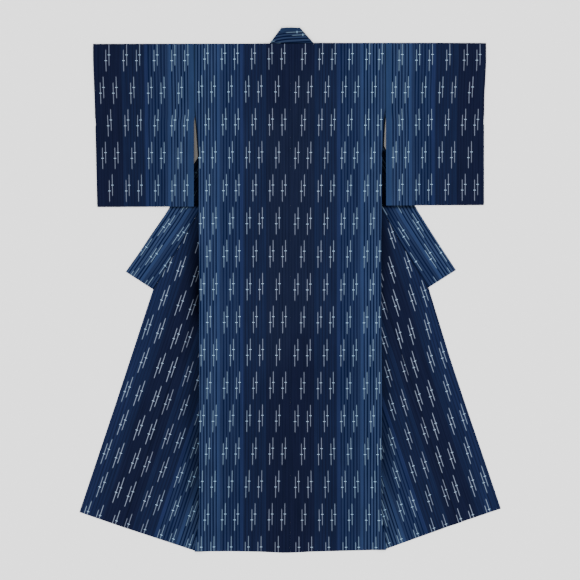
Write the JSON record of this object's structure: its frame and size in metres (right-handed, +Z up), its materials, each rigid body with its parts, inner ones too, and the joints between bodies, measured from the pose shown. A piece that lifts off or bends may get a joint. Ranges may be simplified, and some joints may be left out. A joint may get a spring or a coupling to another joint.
{
  "type": "kimono",
  "caption": "Unlined kimono laid flat with its back up, square sleeves spread, front overlaps fanned out from under the back and the collar crossing behind the neck.",
  "frame": {"origin": "middle of the laid-out kimono's outline, on the surface that it lies on", "axes": "+Y up the garment from the hem to the collar, +X to the right as the back is seen, +Z up off the surface"},
  "size_m": [1.3478, 1.6796, 0.007],
  "materials": {
    "body_cloth": "matt woven cloth, indigo stripes with pale cross ticks",
    "sleeve_cloth": "matt woven cloth, indigo stripes with pale cross ticks",
    "overlap_cloth": "matt woven cloth, dark indigo stripes with pale cross ticks",
    "collar_cloth": "matt woven cloth, light indigo stripes with pale cross ticks"
  },
  "bodies": {
    "root": {"body_left": "body_cloth", "body_right": "body_cloth", "sleeve_left": "sleeve_cloth", "sleeve_right": "sleeve_cloth", "okumi_left": "overlap_cloth", "okumi_right": "overlap_cloth", "collar": "collar_cloth"}
  },
  "joints": []
}
